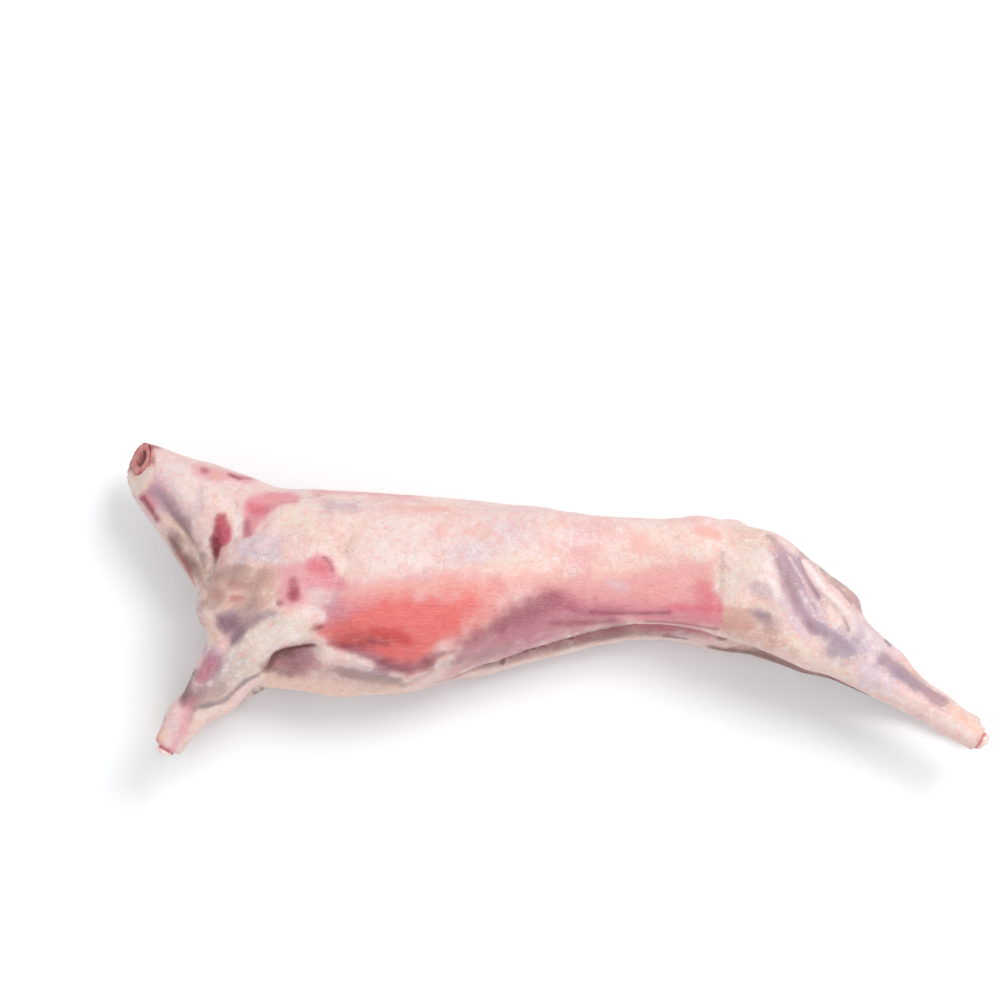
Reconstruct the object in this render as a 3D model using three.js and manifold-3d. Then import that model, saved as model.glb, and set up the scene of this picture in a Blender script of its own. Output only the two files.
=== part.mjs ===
// A whole raw lamb carcass, head, feet and organs removed, lying on its right side.
// Millimetres. +X runs from the neck to the hocks, +Y from the belly to the back, +Z up from the table.
// "Near" is the upper, left side of the animal and "far" is the side that lies on the table.
import * as THREE from 'three';
import Module from 'manifold-3d';
import { mergeVertices } from 'three/addons/utils/BufferGeometryUtils.js';

const wasm = await Module();
wasm.setup();

// ---- Driving dimensions ----------------------------------------------------------------------
const CHEST_DEPTH = 250; // withers to brisket
const CHEST_WIDTH = 200; // across the ribs
const MEDIAN = CHEST_WIDTH / 2 - 4; // height of the spine's plane above the table; the ribs press flat by the 4
const NECK = { length: 212, root: 68, end: 23 }; // length from between the shoulders, and radii
const FORELEG = { upper: 27, knee: 21, tip: 19 }; // radii down the leg
const FAR_FLANK = { thick: 52, height: 32 }; // the lower belly wall, spread on the table: thickness and mid height
const SHANK = { stifle: 30, hock: 17, tip: 18 }; // radii down the shank
const BONE = { neck: 18, canal: 8, knee: 12, hock: 13 }; // radii of the bones where they show at the cuts
const GAP = 0.3; // the meat stands off the bone by a hair
const BONE_DEPTH = { neck: 46, canal: 34, leg: 36 }; // how far in the bones and the canal run
const CELL = { fine: 12.5, coarse: 18 }; // size of the surface's facets at the ends and along the trunk
const BLEND = { muscle: 16, limb: 30 }; // how far neighbouring muscles run into each other

// ---- The body as a field: negative inside, zero on the surface ---------------------------------
const clamp = THREE.MathUtils.clamp;
const smoothUnion = (a, b, reach) => {
  const h = Math.max(reach - Math.abs(a - b), 0) / reach;
  return Math.min(a, b) - (h * h * reach) / 4;
};

// A muscle is a tapering rod with round ends, from one point to another, pressed flat along Z.
function muscleField({ from, to, radius, flat }) {
  const squeeze = 1 / flat;
  const a = [from[0], from[1], from[2] * squeeze];
  const axis = [to[0] - a[0], to[1] - a[1], to[2] * squeeze - a[2]];
  const [r1, r2] = radius;
  const l2 = axis[0] ** 2 + axis[1] ** 2 + axis[2] ** 2;
  const rr = r1 - r2;
  const a2 = l2 - rr * rr;
  return (x, y, z) => {
    const p = [x - a[0], y - a[1], z * squeeze - a[2]];
    const t = p[0] * axis[0] + p[1] * axis[1] + p[2] * axis[2];
    const s = t - l2;
    const x2 = (p[0] * l2 - axis[0] * t) ** 2 + (p[1] * l2 - axis[1] * t) ** 2 + (p[2] * l2 - axis[2] * t) ** 2;
    const y2 = t * t * l2;
    const z2 = s * s * l2;
    const k = Math.sign(rr) * rr * rr * x2;
    if (Math.sign(s) * a2 * z2 > k) return Math.sqrt(x2 + z2) / l2 - r2;
    if (Math.sign(t) * a2 * y2 < k) return Math.sqrt(x2 + y2) / l2 - r1;
    return (Math.sqrt((x2 * a2) / l2) + t * rr) / l2 - r1;
  };
}

const groups = { trunk: [], near: [], far: [] };

// Points are [x, y, offset from the median plane].
const nearSide = ([x, y, offset]) => [x, y, MEDIAN + offset];
const farSide = (pose) => ([x, y, offset]) => pose([x, y, MEDIAN - offset]);
const asItIs = (point) => point;
function middleMuscle(from, to, radius, flat = 1) {
  groups.trunk.push(muscleField({ from: nearSide(from), to: nearSide(to), radius, flat }));
}
function pairedMuscle(nearGroup, farGroup, farPose, from, to, radius, flat = 1) {
  const far = farSide(farPose);
  nearGroup.push(muscleField({ from: nearSide(from), to: nearSide(to), radius, flat }));
  farGroup.push(muscleField({ from: far(from), to: far(to), radius, flat }));
}

// A value that runs smoothly through named stations along the trunk.
function along(stations, key) {
  const slope = (i) => {
    const a = stations[Math.max(i - 1, 0)];
    const b = stations[Math.min(i + 1, stations.length - 1)];
    return (b[key] - a[key]) / (b.at - a.at);
  };
  return (x) => {
    const last = stations.length - 2;
    let i = 0;
    while (i < last && x > stations[i + 1].at) i += 1;
    const a = stations[i];
    const b = stations[i + 1];
    const t = clamp((x - a.at) / (b.at - a.at), 0, 1);
    const span = b.at - a.at;
    const [t2, t3] = [t * t, t * t * t];
    return (2 * t3 - 3 * t2 + 1) * a[key] + (t3 - 2 * t2 + t) * span * slope(i)
      + (3 * t2 - 2 * t3) * b[key] + (t3 - t2) * span * slope(i + 1);
  };
}

// A barrel along the trunk. Its section is an oval that may be narrower above or below and may sag to one side.
function barrelField({ stations, ends, cap, slant, shape }) {
  const back = along(stations, 'back');
  const belly = along(stations, 'belly');
  const top = along(stations, 'top');
  const bottom = along(stations, 'bottom');
  return (x, y, z) => {
    const behind = ends[1] + slant * clamp(y, -100, 60);
    const tall = (back(x) - belly(x)) / 2;
    const v = (y - (back(x) + belly(x)) / 2) / tall;
    const { upper, lower } = shape(clamp(v, -1, 1), top(x), bottom(x));
    const wide = (upper - lower) / 2;
    const w = (z - (upper + lower) / 2) / wide;
    const u = Math.max((ends[0] - x) / cap[0], (x - behind) / cap[1], 0);
    return (Math.sqrt(u * u + v * v + w * w) - 1) * Math.min(tall, wide);
  };
}

// The rib cage is widest below the middle and ends behind at the slanting last ribs.
const ribTop = MEDIAN + CHEST_WIDTH / 2;
groups.trunk.push(barrelField({
  stations: [
    { at: -345, back: 126, belly: -34, top: ribTop - 42, bottom: 38 },
    { at: -270, back: 128, belly: -98, top: ribTop - 15, bottom: 11 },
    { at: -160, back: 124, belly: 124 - CHEST_DEPTH, top: ribTop, bottom: -4 },
    { at: -60, back: 117, belly: -112, top: ribTop, bottom: -4 },
    { at: 40, back: 104, belly: -86, top: ribTop - 8, bottom: -2 },
    { at: 130, back: 92, belly: -58, top: ribTop - 22, bottom: 8 },
  ],
  ends: [-305, 10],
  cap: [52, 150],
  slant: 1,
  shape: (v, top, bottom) => {
    const spread = (0.16 * v * (top - bottom)) / 2;
    return { upper: top - spread, lower: bottom + spread };
  },
}));

// Loin and belly wall: high along the back, and sunk towards the table at the slit belly.
groups.trunk.push(barrelField({
  stations: [
    { at: -40, back: 100, belly: -104, top: 190, bottom: 4 },
    { at: 40, back: 94, belly: -82, top: 186, bottom: 5 },
    { at: 138, back: 86, belly: -59, top: 174, bottom: 7 },
    { at: 210, back: 80, belly: -54, top: 168, bottom: 8 },
    { at: 300, back: 84, belly: -64, top: 170, bottom: 6 },
  ],
  ends: [0, 270],
  cap: [60, 70],
  slant: 0,
  shape: (v, top, bottom) => {
    const belly = THREE.MathUtils.smoothstep(-v, -0.6, 0.9);
    return { upper: top - 16 * belly, lower: bottom - 6 * belly };
  },
}));

// Spine ridge, withers to rump, and the short docked tail.
middleMuscle([-250, 102, 0], [40, 80, 0], [24, 23]);
middleMuscle([40, 80, 0], [205, 58, 0], [23, 22]);
middleMuscle([205, 58, 0], [288, 64, 0], [22, 25]);
middleMuscle([288, 64, 0], [342, 38, 0], [25, 12]);

// Loin: the two long back muscles either side of the spine.
const loin = (...muscle) => pairedMuscle(groups.trunk, groups.trunk, asItIs, ...muscle);
loin([-190, 74, 44], [60, 58, 44], [22, 36]);
loin([60, 56, 40], [240, 46, 42], [36, 38]);

// Brisket: the breastbone's fat keel.
middleMuscle([-306, -89, 0], [-205, -102, 0], [30, 27]);
middleMuscle([-205, -102, 0], [-120, -97, 0], [27, 25]);

// Neck, the throat muscles under it and the breast between the shoulders.
const neckRoot = [-310, 66, 0];
const neckWay = new THREE.Vector3(-0.838, 0.546, 0.03).normalize();
const neckAt = (length) => [0, 1, 2].map((i) => neckRoot[i] + neckWay.toArray()[i] * length);
middleMuscle(neckRoot, neckAt(NECK.length), [NECK.root, NECK.end], 0.92);
middleMuscle([-326, 119, 0], [-368, 133, 0], [26, 27]);
middleMuscle([-344, 8, 4], [-444, 124, 4], [35, 18]);
middleMuscle([-322, -16, 0], [-300, -60, 0], [42, 40]);

// Shoulder: blade muscles, the point of the shoulder and the big muscle behind the upper leg.
const shoulder = (...muscle) => pairedMuscle(groups.near, groups.far, asItIs, ...muscle);
shoulder([-256, 72, 52], [-338, -24, 58], [28, 40], 0.66);
shoulder([-210, 62, 60], [-305, -20, 66], [24, 42], 0.62);
shoulder([-235, 36, 62], [-258, -52, 66], [42, 40], 0.7);
shoulder([-262, -50, 64], [-240, -80, 58], [34, 20], 0.85);

// Foreleg, from the elbow to the knee joint where the foot was taken off. The far leg lies under the near one.
const FAR_FORELEG = { forward: -6, up: 18, down: 28 }; // how far it is moved from the near one's mirror image
const farForelegPose = ([x, y, z]) => {
  const reach = clamp((-y - 66) / 60, 0, 1);
  return [x + FAR_FORELEG.forward * reach, y + FAR_FORELEG.up * reach, z - FAR_FORELEG.down * reach];
};
const elbow = [-350, -131, 50];
const knee = { from: [-389, -162, 42], to: [-413, -202.5, 35] };
const foreleg = (...muscle) => pairedMuscle(groups.near, groups.far, farForelegPose, ...muscle);
foreleg([-300, -66, 62], elbow, [44, FORELEG.upper], 0.82);
foreleg([-340, -88, 52], [-357, -122, 50], [28, 25], 0.85);
foreleg(elbow, knee.from, [FORELEG.upper, FORELEG.knee], 0.9);
foreleg(knee.from, knee.to, [FORELEG.knee, FORELEG.tip]);

// The far belly wall lies on the table and reaches a little past the near one.
const farEdge = [[-40, -76], [70, -40], [187, -15], [260, -31]];
farEdge.slice(1).forEach((to, i) => {
  const [start, end] = [farEdge[i], to].map((point) => [...point, FAR_FLANK.height]);
  const radius = [FAR_FLANK.thick / 2, FAR_FLANK.thick / 2];
  groups.far.push(muscleField({ from: start, to: end, radius, flat: 1 }));
});

// Hind leg: rump, thigh, calf and shank. The far leg is turned a little towards the back.
const HIP = [300, 30];
const FAR_LEG_TURN = THREE.MathUtils.degToRad(4);
function farLegPose([x, y, z]) {
  const [dx, dy] = [x - HIP[0], y - HIP[1]];
  const turn = FAR_LEG_TURN * clamp(dx / 60, 0, 1);
  return [
    HIP[0] + dx * Math.cos(turn) - dy * Math.sin(turn),
    HIP[1] + dx * Math.sin(turn) + dy * Math.cos(turn),
    z - 44 * clamp((x - 380) / 160, 0, 1),
  ];
}
const hock = { from: [548, -162, 34], to: [592, -190, 31] };
const hindleg = (...muscle) => pairedMuscle(groups.near, groups.far, farLegPose, ...muscle);
hindleg([196, -12, 40], [296, -24, 50], [20, 40], 0.8);
hindleg([250, 50, 44], [316, 24, 50], [32, 47], 0.9);
hindleg([320, 8, 52], [392, -39, 48], [54, 43], 0.84);
hindleg([284, -18, 48], [382, -70, 48], [42, 33], 0.85);
hindleg([342, 27, 46], [420, -26, 42], [28, 26], 0.9);
hindleg([396, -50, 46], [474, -102, 42], [38, 27], 0.85);
hindleg([392, -70, 44], hock.from, [SHANK.stifle, SHANK.hock]);
hindleg([440, -64, 42], [546, -148, 34], [17, 10]);
hindleg(hock.from, hock.to, [SHANK.hock, SHANK.tip]);

function nearest(fields, reach) {
  return (x, y, z) => fields.reduce((d, field) => smoothUnion(d, field(x, y, z), reach), Infinity);
}
const trunkField = nearest(groups.trunk, BLEND.muscle);
const nearField = nearest(groups.near, BLEND.muscle);
const farField = nearest(groups.far, BLEND.muscle);

const bodyField = (x, y, z) => {
  const sides = Math.min(nearField(x, y, z), farField(x, y, z));
  return smoothUnion(trunkField(x, y, z), sides, BLEND.limb);
};

// ---- From field to facets ---------------------------------------------------------------------
const gridLines = (start, end, step) => {
  const lines = [start];
  while (lines.at(-1) < end) lines.push(lines.at(-1) + step(lines.at(-1)));
  return lines;
};

// One vertex in each grid cell that the surface crosses, and one quad across each grid edge that it crosses.
function facetedSurface(field, xs, ys, zs) {
  const [nx, ny, nz] = [xs.length, ys.length, zs.length];
  const corner = (i, j, k) => (i * ny + j) * nz + k;
  const value = new Float64Array(nx * ny * nz);
  xs.forEach((x, i) => ys.forEach((y, j) => zs.forEach((z, k) => {
    value[corner(i, j, k)] = field(x, y, z);
  })));

  // Where the surface would touch itself across a cell's face, the outer corner nearest to it goes inside.
  const cellFaces = [
    [[0, 0, 0], [0, 1, 0], [0, 1, 1], [0, 0, 1]],
    [[0, 0, 0], [1, 0, 0], [1, 0, 1], [0, 0, 1]],
    [[0, 0, 0], [1, 0, 0], [1, 1, 0], [0, 1, 0]],
  ];
  for (let touching = true; touching;) {
    touching = false;
    for (let i = 0; i < nx - 1; i += 1) for (let j = 0; j < ny - 1; j += 1) for (let k = 0; k < nz - 1; k += 1) {
      for (const face of cellFaces) {
        const ring = face.map(([u, v, w]) => corner(i + u, j + v, k + w));
        const [a, b, c, d] = ring.map((at) => value[at] < 0);
        if (a !== c || b !== d || a === b) continue;
        const outer = ring.filter((at) => value[at] >= 0).sort((p, q) => value[p] - value[q])[0];
        value[outer] = -0.01;
        touching = true;
      }
    }
  }

  const vertices = [];
  const vertexOf = new Map();
  const bits = [0, 1];
  for (let i = 0; i < nx - 1; i += 1) for (let j = 0; j < ny - 1; j += 1) for (let k = 0; k < nz - 1; k += 1) {
    const crossings = [];
    const cross = (p, q) => {
      const [a, b] = [value[corner(...p)], value[corner(...q)]];
      if (a < 0 === b < 0) return;
      const t = a / (a - b);
      const at = (lines, axis) => lines[p[axis]] + t * (lines[q[axis]] - lines[p[axis]]);
      crossings.push([at(xs, 0), at(ys, 1), at(zs, 2)]);
    };
    for (const u of bits) for (const v of bits) {
      cross([i, j + u, k + v], [i + 1, j + u, k + v]);
      cross([i + u, j, k + v], [i + u, j + 1, k + v]);
      cross([i + u, j + v, k], [i + u, j + v, k + 1]);
    }
    if (!crossings.length) continue;
    const mean = [0, 1, 2].map((axis) => crossings.reduce((sum, c) => sum + c[axis], 0) / crossings.length);
    vertexOf.set(corner(i, j, k), vertices.length / 3);
    vertices.push(...onSurface(field, mean));
  }

  const faces = [];
  const offSurface = (a, b) => {
    const [x, y, z] = [0, 1, 2].map((axis) => (vertices[3 * a + axis] + vertices[3 * b + axis]) / 2);
    return Math.abs(field(x, y, z));
  };
  const quad = (cells, inward) => {
    const ring = cells.map((cell) => vertexOf.get(corner(...cell)));
    const [a, b, c, d] = inward ? ring.reverse() : ring;
    if (offSurface(a, c) < offSurface(b, d)) faces.push(a, b, c, a, c, d);
    else faces.push(a, b, d, b, c, d);
  };
  for (let i = 1; i < nx - 1; i += 1) for (let j = 1; j < ny - 1; j += 1) for (let k = 1; k < nz - 1; k += 1) {
    const inside = value[corner(i, j, k)] < 0;
    if (inside !== value[corner(i + 1, j, k)] < 0)
      quad([[i, j - 1, k - 1], [i, j, k - 1], [i, j, k], [i, j - 1, k]], !inside);
    if (inside !== value[corner(i, j + 1, k)] < 0)
      quad([[i - 1, j, k - 1], [i - 1, j, k], [i, j, k], [i, j, k - 1]], !inside);
    if (inside !== value[corner(i, j, k + 1)] < 0)
      quad([[i - 1, j - 1, k], [i, j - 1, k], [i, j, k], [i - 1, j, k]], !inside);
  }
  relax(field, vertices, faces);
  return new THREE.BufferGeometry()
    .setAttribute('position', new THREE.Float32BufferAttribute(vertices, 3))
    .setIndex(faces);
}

// Evens out the facets: each vertex moves towards the middle of its neighbours and back onto the surface.
function relax(field, vertices, faces) {
  for (let pass = 0; pass < 3; pass += 1) {
    const sums = new Float64Array(vertices.length);
    const counts = new Uint16Array(vertices.length / 3);
    faces.forEach((vertex, i) => {
      const next = faces[i % 3 === 2 ? i - 2 : i + 1];
      for (let axis = 0; axis < 3; axis += 1) sums[3 * vertex + axis] += vertices[3 * next + axis];
      counts[vertex] += 1;
    });
    counts.forEach((count, vertex) => {
      const moved = [0, 1, 2].map((axis) => {
        const i = 3 * vertex + axis;
        return vertices[i] + 0.6 * (sums[i] / count - vertices[i]);
      });
      onSurface(field, moved).forEach((value, axis) => { vertices[3 * vertex + axis] = value; });
    });
  }
}

// Slides a point along the field's slope until it lies on the surface.
function onSurface(field, point) {
  const nudge = 0.5;
  let [x, y, z] = point;
  for (let pass = 0; pass < 3; pass += 1) {
    const value = field(x, y, z);
    const slope = [
      field(x + nudge, y, z) - field(x - nudge, y, z),
      field(x, y + nudge, z) - field(x, y - nudge, z),
      field(x, y, z + nudge) - field(x, y, z - nudge),
    ].map((difference) => difference / (2 * nudge));
    const steep = slope.reduce((sum, s) => sum + s * s, 1e-6);
    const step = clamp(value / steep, -4, 4);
    [x, y, z] = [x - step * slope[0], y - step * slope[1], z - step * slope[2]];
  }
  return [x, y, z];
}

function solidOf(geometry) {
  const bare = new THREE.BufferGeometry().setAttribute('position', geometry.getAttribute('position').clone());
  if (geometry.index) bare.setIndex(geometry.index.clone());
  const merged = mergeVertices(bare, 1e-3);
  return new wasm.Manifold(new wasm.Mesh({
    numProp: 3,
    vertProperties: merged.attributes.position.array,
    triVerts: new Uint32Array(merged.index.array),
  }));
}

function geometryOf(solid) {
  const mesh = solid.getMesh();
  return new THREE.BufferGeometry()
    .setAttribute('position', new THREE.Float32BufferAttribute(mesh.vertProperties, 3))
    .setIndex(new THREE.BufferAttribute(mesh.triVerts, 1));
}

const trunkSpan = [-200, 300];
const xs = gridLines(-530, 650, (x) => (x > trunkSpan[0] && x < trunkSpan[1] ? CELL.coarse : CELL.fine));
const ys = gridLines(-250, 230, () => CELL.fine);
const zs = gridLines(-30, 240, () => CELL.fine);
let body = solidOf(facetedSurface(bodyField, xs, ys, zs));

// A block whose one face is a cutting plane through a point, facing along the normal.
function beyond(point, normal, size) {
  const way = new THREE.Vector3(...normal).normalize();
  const block = new THREE.BoxGeometry(size, size, size);
  block.translate(0, 0, size / 2);
  block.applyQuaternion(new THREE.Quaternion().setFromUnitVectors(new THREE.Vector3(0, 0, 1), way));
  block.translate(...point);
  return solidOf(block);
}
body = body.subtract(beyond([0, 0, 0], [0, 0, -1], 1600));

// ---- The slit belly ----------------------------------------------------------------------------
// A long hollow behind the flanks, from the end of the breastbone to the pelvis, open along the belly.
// Its section at each station is an oval: where the opening is, how far in it runs and how far it gapes.
const slit = [
  { at: -84, y: -100, z: 92, depth: 6, gape: 3 },
  { at: -60, y: -102, z: 92, depth: 26, gape: 10 },
  { at: -20, y: -98, z: 92, depth: 52, gape: 18 },
  { at: 30, y: -88, z: 93, depth: 66, gape: 23 },
  { at: 90, y: -74, z: 94, depth: 70, gape: 25 },
  { at: 150, y: -63, z: 95, depth: 66, gape: 24 },
  { at: 205, y: -59, z: 96, depth: 56, gape: 20 },
  { at: 245, y: -60, z: 96, depth: 38, gape: 14 },
  { at: 270, y: -63, z: 96, depth: 14, gape: 6 },
];
function hollow(stations, sides) {
  const vertices = [];
  const faces = [];
  for (const { at, y, z, depth, gape } of stations) {
    for (let i = 0; i < sides; i += 1) {
      const turn = (i / sides) * 2 * Math.PI;
      vertices.push(at, y + depth * Math.cos(turn), z + gape * Math.sin(turn));
    }
  }
  const last = (stations.length - 1) * sides;
  for (let i = 0; i < sides; i += 1) {
    const next = (i + 1) % sides;
    for (let ring = 0; ring < last; ring += sides) {
      faces.push(ring + i, ring + sides + next, ring + sides + i, ring + i, ring + next, ring + sides + next);
    }
    if (i > 0 && i < sides - 1) faces.push(0, i + 1, i, last, last + i, last + i + 1);
  }
  return solidOf(new THREE.BufferGeometry()
    .setAttribute('position', new THREE.Float32BufferAttribute(vertices, 3))
    .setIndex(faces));
}
body = body.subtract(hollow(slit, 20));

// ---- Cut ends and the bones that show at them ---------------------------------------------------
const lamb = new THREE.Group();
function addPiece(name, solid, color, roughness) {
  const piece = new THREE.Mesh(
    geometryOf(solid),
    new THREE.MeshStandardMaterial({ color, roughness, metalness: 0 }),
  );
  piece.name = name;
  lamb.add(piece);
}

// A shape turned about the bone's axis: pairs of radius and distance along it, counted from a point.
const OUT = 80; // well outside the meat
function turned(profile, point, way, sides) {
  const shape = new THREE.LatheGeometry(profile.map(([r, along]) => new THREE.Vector2(r, along)), sides);
  shape.applyQuaternion(new THREE.Quaternion().setFromUnitVectors(new THREE.Vector3(0, 1, 0), way));
  shape.translate(...point);
  return solidOf(shape);
}
const socket = (radius, deep) => [
  [0, -deep - GAP],
  [radius + GAP, -deep - GAP],
  [radius + GAP, OUT],
  [0, OUT],
];

// The neck is cut off aslant, facing up and forward: a ring of vertebra round its canal, nearer the back.
const neckCut = { along: 177, facing: [-0.77, 0.25, 0.59], proud: 1.2, toBack: 7 };
const neckPoint = nearSide(neckAt(neckCut.along));
const neckFace = new THREE.Vector3(...neckCut.facing).normalize();
const backWay = new THREE.Vector3(neckWay.y, -neckWay.x, 0).normalize();
const bonePoint = new THREE.Vector3(...neckPoint).addScaledVector(backWay, neckCut.toBack).toArray();
body = body.subtract(beyond(neckPoint, neckCut.facing, 300));
body = body.subtract(turned(socket(BONE.neck, BONE_DEPTH.neck), bonePoint, neckWay, 28));
const vertebra = turned([
  [0, -BONE_DEPTH.neck],
  [BONE.neck, -BONE_DEPTH.neck],
  [BONE.neck, OUT],
  [BONE.canal, OUT],
  [BONE.canal, -BONE_DEPTH.canal],
  [0, -BONE_DEPTH.canal],
], bonePoint, neckWay, 28);
const proudPoint = new THREE.Vector3(...neckPoint).addScaledVector(neckFace, neckCut.proud).toArray();
addPiece('neck_bone', vertebra.subtract(beyond(proudPoint, neckCut.facing, 300)), 0xe6bcae, 0.45);

// The legs end at the knee and hock joints, square across, with the joint's rounded knuckle standing out.
const KNUCKLE = { neck: 2, rise: 0.55 }; // straight stretch outside the meat, and the dome's height by radius
function cutLeg(name, { from, to }, radius, place) {
  const [start, end] = [new THREE.Vector3(...place(from)), new THREE.Vector3(...place(to))];
  const way = end.clone().sub(start).normalize();
  const point = end.clone().addScaledVector(way, -radius * 0.35).toArray();
  body = body.subtract(beyond(point, way.toArray(), 120));
  body = body.subtract(turned(socket(radius, BONE_DEPTH.leg), point, way, 24));
  const dome = [0, 0.25, 0.5, 0.75].map((step) => {
    const turn = (step * Math.PI) / 2;
    return [radius * Math.cos(turn), KNUCKLE.neck + KNUCKLE.rise * radius * Math.sin(turn)];
  });
  const top = [0, KNUCKLE.neck + KNUCKLE.rise * radius];
  const outline = [[0, -BONE_DEPTH.leg], [radius, -BONE_DEPTH.leg], ...dome, top];
  addPiece(name, turned(outline, point, way, 24), 0xf0dccb, 0.4);
}
cutLeg('fore_bone_near', knee, BONE.knee, nearSide);
cutLeg('fore_bone_far', knee, BONE.knee, farSide(farForelegPose));
cutLeg('hind_bone_near', hock, BONE.hock, nearSide);
cutLeg('hind_bone_far', hock, BONE.hock, farSide(farLegPose));

addPiece('carcass', body.asOriginal().simplify(0.05), 0xe8c4bc, 0.5);

// The origin is on the table, under the middle of the carcass.
const middle = new THREE.Box3().setFromObject(lamb).getCenter(new THREE.Vector3());
lamb.children.forEach((piece) => piece.geometry.translate(-middle.x, -middle.y, 0));
export default lamb;
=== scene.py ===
import math

import bpy
import numpy as np
from mathutils import Matrix, Vector, noise
from mathutils.bvhtree import BVHTree


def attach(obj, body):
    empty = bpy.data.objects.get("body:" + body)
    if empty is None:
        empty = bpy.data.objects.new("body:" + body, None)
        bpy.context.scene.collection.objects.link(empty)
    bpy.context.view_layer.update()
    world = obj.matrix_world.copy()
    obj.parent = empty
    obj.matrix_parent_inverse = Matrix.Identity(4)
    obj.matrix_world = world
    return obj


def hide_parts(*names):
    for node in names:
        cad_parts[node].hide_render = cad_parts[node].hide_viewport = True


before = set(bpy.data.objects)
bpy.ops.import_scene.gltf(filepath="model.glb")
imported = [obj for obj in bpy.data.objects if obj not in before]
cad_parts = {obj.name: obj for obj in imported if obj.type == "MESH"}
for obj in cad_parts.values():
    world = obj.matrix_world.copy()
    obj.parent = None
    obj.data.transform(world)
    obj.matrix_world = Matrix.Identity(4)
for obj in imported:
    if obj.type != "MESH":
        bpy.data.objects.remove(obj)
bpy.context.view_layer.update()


# ---- Table and light -----------------------------------------------------------------------------
# The carcass lies on a matt white table, seen from above its belly side by a long lens.
# A large soft light stands high behind the rump, so the shade falls to the neck and the belly.
def deselect_all():
    for thing in bpy.context.selected_objects:
        thing.select_set(False)


def linear(red, green, blue):
    """A colour as it is seen on a screen, 0 to 255, as the light that a material works with."""
    parts = np.array([red, green, blue]) / 255
    light = np.where(parts <= 0.04045, parts / 12.92, ((parts + 0.055) / 1.055) ** 2.4)
    return tuple(float(part) for part in light)


deselect_all()
bpy.ops.mesh.primitive_plane_add(size=8, location=(0, 0, 0))
table = bpy.context.object
table.name = "table"
table_finish = bpy.data.materials.new("matt_white_table")
table_finish.use_nodes = True
table_shader = table_finish.node_tree.nodes["Principled BSDF"]
table_shader.inputs["Base Color"].default_value = (0.885, 0.9, 0.9, 1)
table_shader.inputs["Roughness"].default_value = 0.6
table_shader.inputs["Specular IOR Level"].default_value = 0.2
table.data.materials.append(table_finish)

VIEW_TILT = math.radians(80)
VIEW_WIDTH = 1.26
VIEW_CENTRE = Vector((-0.07, 0.125, 0.1))
LENS = 100
camera_distance = VIEW_WIDTH * LENS / 36
view_way = Vector((0, -math.cos(VIEW_TILT), math.sin(VIEW_TILT)))
camera_data = bpy.data.cameras.new("camera")
camera_data.lens = LENS
camera = bpy.data.objects.new("camera", camera_data)
camera.location = VIEW_CENTRE + camera_distance * view_way
camera.rotation_euler = (math.pi / 2 - VIEW_TILT, 0, 0)
bpy.context.collection.objects.link(camera)
bpy.context.scene.camera = camera


def soft_light(name, place, target, size, power):
    light = bpy.data.lights.new(name, "AREA")
    light.shape = "DISK"
    light.size = size
    light.energy = power
    lamp = bpy.data.objects.new(name, light)
    lamp.location = place
    lamp.rotation_euler = (Vector(target) - Vector(place)).to_track_quat("-Z", "Y").to_euler()
    bpy.context.collection.objects.link(lamp)


soft_light("key", (1.0, 0.95, 2.75), (0, 0, 0.05), 1.5, 49)
soft_light("fill", (-0.5, -1.9, 2.2), (0, 0, 0.05), 2.4, 12)
world = bpy.data.worlds.new("studio")
world.use_nodes = True
world.node_tree.nodes["Background"].inputs["Color"].default_value = (0.97, 0.98, 1.0, 1)
world.node_tree.nodes["Background"].inputs["Strength"].default_value = 0.81
bpy.context.scene.world = world
bpy.context.scene.view_settings.view_transform = "Standard"


# ---- Body: its form ------------------------------------------------------------------------------
# One skinned body: muscle under a thin white-pink skin of fat and membrane, cold and set, so it keeps its shape.
# It is cut at the neck, knees and hocks, and slit along the belly. The solid's facets are smoothed away first.
def edit(thing, *steps):
    """Runs edit-mode steps on the whole of one object."""
    deselect_all()
    bpy.context.view_layer.objects.active = thing
    thing.select_set(True)
    bpy.ops.object.mode_set(mode="EDIT")
    bpy.ops.mesh.select_all(action="SELECT")
    for step in steps:
        step()
    bpy.ops.object.mode_set(mode="OBJECT")


def apply_modifier(thing, kind, **settings):
    deselect_all()
    bpy.context.view_layer.objects.active = thing
    thing.select_set(True)
    modifier = thing.modifiers.new(kind.lower(), kind)
    for name, value in settings.items():
        setattr(modifier, name, value)
    bpy.ops.object.modifier_apply(modifier=modifier.name)


def join(things, name):
    deselect_all()
    for thing in things:
        thing.select_set(True)
    bpy.context.view_layer.objects.active = things[0]
    bpy.ops.object.join()
    things[0].name = name
    return things[0]


def smooth_shade(thing):
    deselect_all()
    thing.select_set(True)
    bpy.context.view_layer.objects.active = thing
    bpy.ops.object.shade_smooth()


def toward(place, way, roll=0):
    """The matrix that puts a thing's origin at a place, in millimetres, and its Z axis along a way."""
    turn = Vector(way).to_track_quat("Z", "X").to_matrix().to_4x4()
    return Matrix.Translation(Vector(place) / 1000) @ turn @ Matrix.Rotation(math.radians(roll), 4, "Z")


# each leg end: where the cut is and which way the leg points there, in millimetres
KNEE_CUTS = {"near": ((-479.0, -190.4, 131.6), (-0.504, -0.851, -0.147)),
             "far": ((-485.0, -172.4, 32.4), (-0.504, -0.851, 0.147))}
HOCK_CUTS = {"near": ((520.0, -179.1, 127.3), (0.842, -0.536, -0.057)),
             "far": ((533.4, -157.8, 20.7), (0.876, -0.476, 0.057))}
SOCKET_DEPTH = 0.037

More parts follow.
